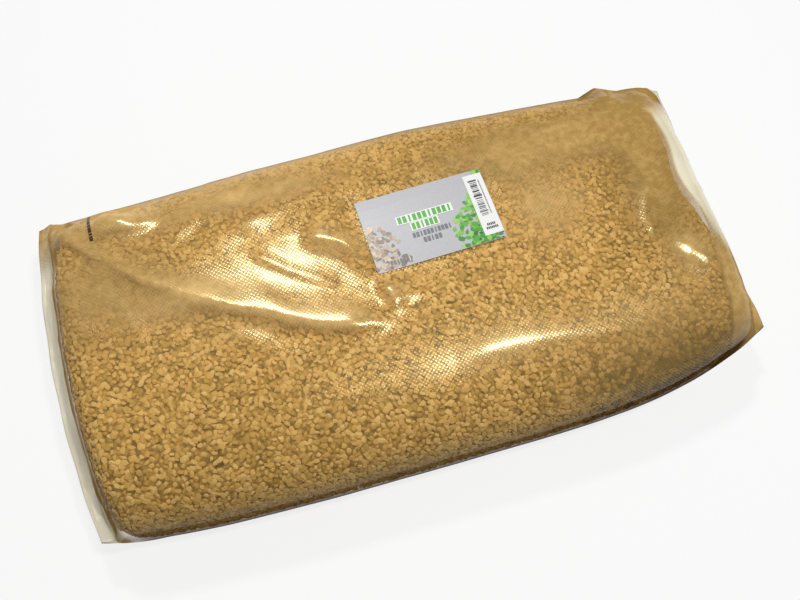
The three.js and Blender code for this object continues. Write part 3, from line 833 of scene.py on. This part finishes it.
def film_material(settings):
    """Clear glossy film that blurs what it stands off from, and is whitish where empty."""
    s = Shader("clear_film", 0.22, **{"IOR": 3.2, "Specular Tint": rgba(settings.glint)})
    dots = embossed_dots(s, settings.dot_pitch)
    empty, painted_shade, crumple = (s.attribute(name) for name in ("empty", "painted_shade", "crumple"))
    # Colour: blurred granulate with painted light and shade, painted shade on the sides and on the front
    # towards the right, and whitish empty film
    light = s.plus(s.times(s.noise(115, 2, 0.6), 0.7), s.times(s.attribute("light"), 0.5))
    blurred = s.ramp(light, (0.3, settings.haze_shade), (0.85, settings.haze_colour))
    bare = s.ramp(s.noise(14, 2), (0.3, settings.empty_shade), (0.65, settings.empty_colour))
    inner = s.minus(1.0, s.times(s.attribute("ends"), 0.75))
    painted_shade_share = s.times(painted_shade, 0.55)
    painted_wall_shade = s.greatest(s.times(s.attribute("painted_wall_shade"), inner), painted_shade_share)
    s.colour(s.mix(empty, s.mix(painted_wall_shade, blurred, rgba(settings.painted_shade_colour)), bare))
    # Opacity
    cloud = s.plus(s.times(s.noise(22, 3, 0.55), 1.3), 0.3)
    haze = s.least(s.times(s.attribute("haze"), cloud), settings.haze_limit)
    gap = s.times(s.attribute("gap"), s.minus(1.0, empty))
    blur = s.greatest(haze, s.times(gap, settings.gap_alpha))
    grazing = s.math("POWER", s.node("LayerWeight", Blend=0.5).outputs["Facing"], 2.5)
    # Opacity rises where the film is seen edge-on, and with the painted shade on the front towards the
    # right
    shade = s.greatest(s.times(grazing, inner), painted_shade_share)
    factor = s.plus(blur, settings.clear_alpha)
    factor = s.plus(factor, s.times(empty, settings.empty_alpha))
    factor = s.plus(factor, s.times(shade, settings.edge_alpha), clamp=True)
    s.blend(factor, s.node("BsdfTransparent"), s.main)
    # Gloss: strongest on the dots, weak where the film blurs, and none at its rims
    sharp = s.minus(1.0, blur)
    plain = s.greatest(empty, s.times(grazing, 2.5, clamp=True))
    plain = s.greatest(plain, s.times(painted_shade, 0.85))
    dull = s.times(blur, s.plus(0.1, s.times(crumple, 0.35)))
    gloss = s.plus(s.times(s.plus(0.12, s.times(dots, 0.88)), sharp), dull)
    gloss = s.plus(s.times(gloss, s.minus(1.0, plain)), s.times(empty, 0.3))
    s.put(gloss, s.main.inputs["Specular IOR Level"])
    # Relief: dots, fine unevenness and crumpled film
    relief = s.plus(s.times(s.times(dots, sharp), 0.25), s.times(s.noise(160), 0.75))
    relief = s.plus(relief, s.times(crumple, s.times(s.noise(75), 7)))
    s.bump(s.times(relief, s.minus(1.0, empty)), 0.3, 0.0005)
    return s.material


# Label and mark

LEAF_STEPS = 5
BLOCK_GAP = 0.26
TONE_LAYERS = 12  # how many thin layers printed shapes lie on
HEAP_REACH = (40, 58)
HEAP_SIDES = 6
MARK_DASHES = 11
MARK_PITCH = 4.4
MARK_HALF = 1.9  # half its width
MARK_LIFT = 0.35

def turned(outline, angle, u, v):
    """An outline turned about its middle and moved to a place."""
    turn = np.array([[math.cos(angle), math.sin(angle)], [-math.sin(angle), math.cos(angle)]])
    return outline @ turn + [u, v]


def label_points(outline, lift):
    """An outline of the label's plane, laid on the bag."""
    x, y = turned(outline, LABEL_TURN, *LABEL_MIDDLE).T
    return np.stack([x + CENTRE_SHIFT, y, top_height(x, y) + lift], -1)


def leaf_outline(length, width):
    """The rim of a leaf with a pointed tip, round its middle."""
    t = np.linspace(0, 1, LEAF_STEPS + 1)
    side = width / 2 * np.sin(math.pi * t**0.85)
    upper = np.stack([(t - 0.5) * length, side], -1)
    lower = np.stack([(0.5 - t) * length, -side[::-1]], -1)
    return np.concatenate([upper, lower[1:-1]])[::-1]


def label_piece(name, outlines, lift, tones=None):
    """Flat outlines in the label's plane, each held within the label's edge, laid on it."""
    points, faces, values = [], [], []
    half = np.array(LABEL_SIZE) / 2 - LABEL_RIM
    for i, outline in enumerate(outlines):
        inside = np.clip(outline, -half, half)
        height = lift + LAYER_STEP * (i % TONE_LAYERS) if tones is not None else lift
        placed = label_points(inside, LABEL_TOP + height)
        faces.append([len(points) + k for k in range(len(placed))])
        points.extend(placed.tolist())
        values.extend([0.5 if tones is None else tones[i]] * len(placed))
    obj = new_object(name, points, faces, False)
    add_values(obj, "tone", values)
    return obj


def rectangle(u, v, width, height):
    du, dv = width / 2, height / 2
    return np.array([(u - du, v - dv), (u + du, v - dv), (u + du, v + dv), (u - du, v + dv)])


PANEL = (63.5, 1, 22, 79)  # middle, width and height of the white panel
PANEL_STRIPS = 10


def make_foliage(count):
    """Printed leaves that crowd the end of the label around the white panel."""
    rng = np.random.default_rng(51)
    top, end = LABEL_SIZE[1] / 2, LABEL_SIZE[0] / 2
    outlines, tones = [], []
    while len(outlines) < count:
        share = rng.random()
        v = top - 2 * top * share
        start = end - 8 - 46 * smooth(share * 1.25)
        u = start + (end - start) * rng.random() ** 0.8
        if abs(u - PANEL[0]) < PANEL[2] / 2 - 1.5 and abs(v - PANEL[1]) < PANEL[3] / 2 - 1.5:
            continue
        length = rng.uniform(4.5, 8.5)
        leaf = leaf_outline(length, length * rng.uniform(0.55, 0.8))
        outlines.append(turned(leaf, rng.uniform(0, TAU), u, v))
        depth = (u - start) / (end - start)
        tones.append(float(np.clip(rng.normal(0.72 - 0.45 * depth, 0.2), 0, 1)))
    order = np.argsort(tones)
    return label_piece("label_leaves", [outlines[i] for i in order], 0.2, [tones[i] for i in order])


def make_panel():
    """The white panel, in strips that follow the label's bend."""
    u, v, width, height = PANEL
    step = height / PANEL_STRIPS
    places = v - height / 2 + step * (np.arange(PANEL_STRIPS) + 0.5)
    return label_piece("label_panel", [rectangle(u, place, width, step) for place in places], 0.5)


def make_panel_bars():
    """Bars of several widths across the panel, with a dotted row beside and below them."""
    rng = np.random.default_rng(52)
    outlines, v = [], PANEL[1] + 31
    while v > PANEL[1] - 16:
        width = rng.choice([0.6, 0.9, 1.4, 2.0])
        outlines.append(rectangle(PANEL[0] - 2, v, 8 if len(outlines) % 9 else 10, width))
        v -= width / 2 + rng.choice([0.7, 1.0, 1.5]) + 0.7
    outlines += [rectangle(PANEL[0] + 5.2, PANEL[1] + 30 - 1.9 * i, 1.3, 1.1) for i in range(24)]
    for row, count in ((0, 5), (1, 7)):
        place = PANEL[1] - 27 - 4.4 * row
        outlines += [rectangle(PANEL[0] + 2 * (i - (count - 1) / 2), place, 1.4, 3) for i in range(count)]
    return label_piece("label_panel_bars", outlines, 0.65)


def block_row(u, v, width, height, blocks):
    """A bar broken into even blocks with some narrow ones, like a line of generic print."""
    pitch = width / blocks
    made = []
    for i in range(blocks):
        share = (1 - BLOCK_GAP) * (0.5 if i % 4 == 2 else 1)
        made.append(rectangle(u - width / 2 + (i + 0.5) * pitch, v, pitch * share, height))
    return made


TITLE_ROWS = ((-4, 8.5, 64, 8.5, 11), (-7, -2.5, 31, 8.5, 6))
NOTE_ROWS = ((-2, -13.5, 46, 6, 11), (-4, -22, 22, 6, 5))
SMALL_ROWS = ((-46, -38, 26, 5, 7),)


def make_title_edge():
    """White fields behind the title's rows, a little larger than them."""
    edge = 2.2
    outlines = [rectangle(u, v, width + edge, height + edge) for u, v, width, height, _ in TITLE_ROWS]
    return label_piece("label_title_edge", outlines, 0.42)


def make_rows(name, rows, lift):
    outlines = [block for row in rows for block in block_row(*row)]
    return label_piece(name, outlines, lift)


def make_heap(count):
    """A heap of printed wood chips in the lower corner."""
    rng = np.random.default_rng(53)
    outlines, tones = [], []
    corner = -np.array(LABEL_SIZE) / 2
    while len(outlines) < count:
        u, v = 42 * rng.random(), 62 * rng.random()
        if (u / HEAP_REACH[0]) ** 2 + (v / HEAP_REACH[1]) ** 2 > 1:
            continue
        length = rng.uniform(5, 9)
        angle = np.arange(HEAP_SIDES) / HEAP_SIDES * TAU
        radius = length / 2 * rng.uniform(0.7, 1.1, HEAP_SIDES)
        chip = np.stack([np.cos(angle) * radius, np.sin(angle) * radius * 0.7], -1)
        outlines.append(turned(chip, rng.uniform(0, TAU), *(corner + [u, v])))
        tones.append(float(rng.random()))
    return label_piece("label_heap", outlines, 0.2, tones)


def make_mark():
    """A short row of printed dashes across the film near its back left corner."""
    film = bpy.data.objects["film_skin"]
    points, faces = [], []
    for i in range(MARK_DASHES):
        start = MARK_START + i * MARK_PITCH
        length = 3.1 if i % 3 else 3.9
        run = np.linspace(start, start + length, 4)
        dash = np.array([(along, across) for across in (-MARK_HALF, MARK_HALF) for along in run])
        for x, y in turned(dash, math.pi / 2 + MARK_TURN, *MARK_MIDDLE):
            above = Vector((x + CENTRE_SHIFT, y, 300)) * MM
            hit, place, _, _ = film.ray_cast(above, Vector((0, 0, -1)))
            points.append((x + CENTRE_SHIFT, y, place.z / MM + MARK_LIFT if hit else 0))
        base = 8 * i
        faces += [[base + j, base + j + 1, base + 5 + j, base + 4 + j] for j in range(3)]
    return new_object("film_mark_dashes", points, faces, False)


def plain_print(name, colour, second):
    """Ink with faint mottling."""
    s = Shader(name, 0.38)
    s.colour(s.ramp(s.noise(300, 3, 0.6), (0.35, colour), (0.7, second)))
    s.bump(s.noise(1500, 2), 0.1, 0.0001)
    return s.material


def tone_print(name, dark, middle, pale):
    """Ink whose tone goes with each printed shape."""
    s = Shader(name, 0.38)
    s.colour(s.ramp(s.attribute("tone"), (0.1, dark), (0.5, middle), (0.9, pale)))
    return s.material


# Settings


def colour_of(name, what, default):
    return bpy.props.FloatVectorProperty(
        name=name, description=f"Colour of {what}", default=default, subtype="COLOR_GAMMA", min=0, max=1
    )


def number_of(name, description, default, least=0, **more):
    return bpy.props.FloatProperty(name=name, description=description, default=default, min=least, **more)


def share_of(name, description, default):
    return number_of(name, description, default, max=1, subtype="FACTOR")


def count_of(name, description, default, least=0):
    return bpy.props.IntProperty(name=name, description=description, default=default, min=least)


class GranulateSettings(bpy.types.PropertyGroup):
    spacing: number_of("Chip spacing", "Least distance between chips in mm", 4.6, 3)
    chip_length: number_of("Chip length", "Usual length of a chip in mm", 8.1, 2)
    piece_count: count_of("Pieces", "How many pieces hold the chips", 5, 1)
    pale: colour_of("Pale wood", "the palest chips", (0.98, 0.85, 0.54))
    light: colour_of("Light wood", "light chips", (0.94, 0.78, 0.455))
    middle: colour_of("Middle wood", "most chips", (0.87, 0.70, 0.365))
    dark: colour_of("Dark wood", "dark chips", (0.73, 0.58, 0.26))
    # Painted shade in the depth between the chips, and on the chips darkened at the front
    gap: colour_of("Gaps", "the depth between the chips", (0.43, 0.32, 0.12))


class FilmSettings(bpy.types.PropertyGroup):
    # The haze runs from its shade to its colour with random tone and with painted light and shade
    haze_colour: colour_of("Haze", "blurred granulate", (0.93, 0.77, 0.49))
    haze_shade: colour_of("Haze shade", "dark blurred granulate", (0.70, 0.555, 0.30))
    glint: colour_of("Glints", "the reflections", (1.0, 0.93, 0.72))
    # Painted shade colour of the bag's sides and of its front towards the right
    painted_shade_colour: colour_of("Edge", "the bag's sides", (0.34, 0.245, 0.11))
    empty_colour: colour_of("Empty film", "empty film", (1.0, 0.97, 0.86))
    empty_shade: colour_of("Empty shade", "dark empty film", (0.93, 0.89, 0.75))
    haze_limit: share_of("Haze limit", "Greatest opacity of the haze", 0.78)
    empty_alpha: share_of("Empty opacity", "Added opacity of empty film", 0.42)
    clear_alpha: share_of("Base opacity", "Opacity of the clear film", 0.15)
    gap_alpha: share_of("Gap opacity", "Opacity of film off the granulate", 0.72)
    edge_alpha: share_of("Edge opacity", "Added opacity of film seen edge-on", 0.9)
    dot_pitch: number_of("Dot pitch", "Distance of the dots", 0.0048, 0.001, unit="LENGTH")


class LabelSettings(bpy.types.PropertyGroup):
    paper: colour_of("Label", "the bare label", (0.74, 0.74, 0.75))
    leaf: colour_of("Leaves", "the printed leaves", (0.26, 0.64, 0.16))
    pale_leaf: colour_of("Pale leaves", "the palest leaves", (0.62, 0.86, 0.36))
    title: colour_of("Title bars", "the large bars", (0.30, 0.66, 0.16))
    note: colour_of("Note bars", "the small bars", (0.42, 0.43, 0.46))
    heap: colour_of("Heap", "most printed chips", (0.72, 0.62, 0.52))
    pale_heap: colour_of("Pale heap", "the palest printed chips", (0.88, 0.80, 0.70))
    leaf_count: count_of("Leaf count", "How many leaves are printed", 210)
    heap_count: count_of("Heap count", "How many chips are printed", 110)


class StageSettings(bpy.types.PropertyGroup):
    floor: colour_of("Floor", "the floor", (0.97, 0.97, 0.97))
    front_power: number_of("Front lamp", "Power of the lamp overhead", 17.5, unit="POWER")
    back_power: number_of("Back lamp", "Power of the lamp behind", 19.5, unit="POWER")
    world_strength: number_of("Room light", "Strength of the even light", 0.24)
    lens: number_of("Focal length", "The camera's lens", 38.25, 1, unit="CAMERA")


# Operators


class BAG_OT_granulate(bpy.types.Operator):
    """Makes the bed of grains and the loose chips on it"""

    bl_idname = "bag.granulate"
    bl_label = "Granulate"

    def execute(self, context):
        settings = context.scene.bag_granulate
        finish_piece(make_bed(), bed_material(settings), "granulate", "litter_fill")
        material = chip_material(settings)
        for chips in make_chips(settings):
            finish_piece(chips, material, "granulate", "litter_fill")
        return {"FINISHED"}


class BAG_OT_film(bpy.types.Operator):
    """Makes the clear film with its seals and creases"""

    bl_idname = "bag.film"
    bl_label = "Film"

    def execute(self, context):
        film = finish_piece(make_film(), film_material(context.scene.bag_film), "film", "film_bag")
        return {"FINISHED"}


class BAG_OT_label(bpy.types.Operator):
    """Dresses the label and makes its printed leaves"""

    bl_idname = "bag.label"
    bl_label = "Label"

    def execute(self, context):
        settings = context.scene.bag_label
        paper = plain_print("label_paper", settings.paper, [c * 1.03 for c in settings.paper])
        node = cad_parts["label"]
        node.data.materials.clear()
        node.data.materials.append(paper)
        dark_leaf, dark_heap = [c * 0.5 for c in settings.leaf], [c * 0.72 for c in settings.heap]
        leaves = tone_print("leaf_ink", dark_leaf, settings.leaf, settings.pale_leaf)
        heap = tone_print("heap_ink", dark_heap, settings.heap, settings.pale_heap)
        white = plain_print("white_ink", (0.97, 0.97, 0.96), (0.95, 0.95, 0.94))
        black = plain_print("black_ink", (0.10, 0.10, 0.11), (0.16, 0.16, 0.17))
        title = plain_print("title_ink", settings.title, [c * 1.1 for c in settings.title])
        note = plain_print("note_ink", settings.note, [c * 1.1 for c in settings.note])
        for piece, ink, slot, node in (
            (make_foliage(settings.leaf_count), leaves, "print_green", "label_leaf_field"),
            (make_heap(settings.heap_count), heap, "print_tan", "label_picture_field"),
            (make_panel(), white, "print_white", "label_code_panel"),
            (make_panel_bars(), black, "print_black", "label_code_bars"),
            (make_title_edge(), white, "print_white", "label_title_bars"),
            (make_rows("label_title", TITLE_ROWS, 0.5), title, "print_light_green", "label_title_bars"),
            (make_rows("label_note", NOTE_ROWS, 0.5), note, "print_grey", "label_note_bars"),
            (make_rows("label_small_note", SMALL_ROWS, 0.55), note, "print_grey", "label_note_bars"),
        ):
            finish_piece(piece, ink, slot, node)
        return {"FINISHED"}


class BAG_OT_mark(bpy.types.Operator):
    """Makes the short printed mark on the film"""

    bl_idname = "bag.mark"
    bl_label = "Mark"

    def execute(self, context):
        ink = plain_print("mark_ink", (0.13, 0.10, 0.07), (0.24, 0.19, 0.12))
        finish_piece(make_mark(), ink, "print_mark", "film_mark")
        return {"FINISHED"}


class BAG_OT_stage(bpy.types.Operator):
    """Makes the floor, the lamps and the camera"""

    bl_idname = "bag.stage"
    bl_label = "Stage"

    def execute(self, context):
        settings = context.scene.bag_stage
        make_floor(settings)
        make_light(settings)
        make_camera(settings)
        context.scene.view_settings.view_transform = "Standard"
        return {"FINISHED"}


FLOOR_SIDE = 12000
FLOOR_HEIGHT = -0.2


def make_floor(settings):
    """A floor that looks near white and takes the bag's shadow."""
    corners = [(u, v, FLOOR_HEIGHT) for u, v in rectangle(0, 0, FLOOR_SIDE, FLOOR_SIDE)]
    floor = new_object("floor", corners, [[0, 1, 2, 3]])
    s = Shader("pale_floor", 0.9, **{"Base Color": rgba(settings.floor)})
    glow = s.node("Emission", Color=(1, 1, 1, 1), Strength=1.0)
    path = s.node("LightPath").outputs
    seen = s.greatest(path["Is Camera Ray"], path["Is Transmission Ray"])
    s.blend(s.times(s.greatest(seen, path["Is Glossy Ray"]), 0.8), s.main, glow)
    floor.data.materials.append(s.material)


def make_light(settings):
    """A white backdrop, even light, and two lamps that the film mirrors."""
    world = bpy.context.scene.world = bpy.data.worlds.new("room")
    s = Nodes(world, "OutputWorld")
    room = s.node("Background", Strength=settings.world_strength)
    backdrop = s.node("Background", Color=(1, 1, 1, 1))
    s.blend(s.node("LightPath").outputs["Is Camera Ray"], room, backdrop)
    add_lamp("front_lamp", (0.5, -0.25, 2.1), settings.front_power, 0.14)
    add_lamp("back_lamp", (0.0, 1.1, 2.1), settings.back_power, 0.2)


def add_lamp(name, place, power, size):
    data = bpy.data.lights.new(name, "AREA")
    data.energy = power
    data.size = size
    lamp = add_object(name, data)
    lamp.location = place
    lamp.rotation_mode = "QUATERNION"
    lamp.rotation_quaternion = (Vector((0, 0, 0.1)) - Vector(place)).to_track_quat("-Z", "Y")


CAMERA_TURNS = (18.331, 68.941, 2.535)  # azimuth, elevation and roll in degrees
CAMERA_DISTANCE = 1.01528
CAMERA_TARGET = Vector((0.00013, -0.00361, 0.060))


def make_camera(settings):
    """The camera that was fitted to the photograph."""
    az, el, roll = map(math.radians, CAMERA_TURNS)
    back = Vector((-math.sin(az) * math.cos(el), -math.cos(az) * math.cos(el), math.sin(el)))
    right = (-back).cross(Vector((0, 0, 1))).normalized()
    up = right.cross(-back)
    turned_right = right * math.cos(roll) + up * math.sin(roll)
    turned_up = up * math.cos(roll) - right * math.sin(roll)
    data = bpy.data.cameras.new("camera")
    data.lens = settings.lens
    data.sensor_width = 36
    camera = add_object("camera", data)
    rotation = Matrix((turned_right, turned_up, back)).transposed().to_4x4()
    camera.matrix_world = Matrix.Translation(CAMERA_TARGET + back * CAMERA_DISTANCE) @ rotation
    bpy.context.scene.camera = camera


class BAG_PT_panel(bpy.types.Panel):
    """Lists the steps that make the bag"""

    bl_label = "Granulate Bag"
    bl_idname = "BAG_PT_panel"
    bl_space_type = "VIEW_3D"
    bl_region_type = "UI"
    bl_category = "Bag"

    def draw(self, context):
        for operator in OPERATORS:
            self.layout.operator(operator.bl_idname)


SETTINGS = {
    "bag_granulate": GranulateSettings,
    "bag_film": FilmSettings,
    "bag_label": LabelSettings,
    "bag_stage": StageSettings,
}
OPERATORS = (BAG_OT_granulate, BAG_OT_film, BAG_OT_label, BAG_OT_mark, BAG_OT_stage)


def register():
    for group in (*SETTINGS.values(), *OPERATORS, BAG_PT_panel):
        bpy.utils.register_class(group)
    for name, group in SETTINGS.items():
        setattr(bpy.types.Scene, name, bpy.props.PointerProperty(type=group))


def unregister():
    for name in SETTINGS:
        delattr(bpy.types.Scene, name)
    for group in (BAG_PT_panel, *reversed(OPERATORS), *reversed(SETTINGS.values())):
        bpy.utils.unregister_class(group)


def main():
    register()
    bpy.ops.bag.stage()
    bpy.ops.bag.granulate()
    bpy.ops.bag.film()
    bpy.ops.bag.label()
    bpy.ops.bag.mark()


if __name__ == "__main__":
    main()
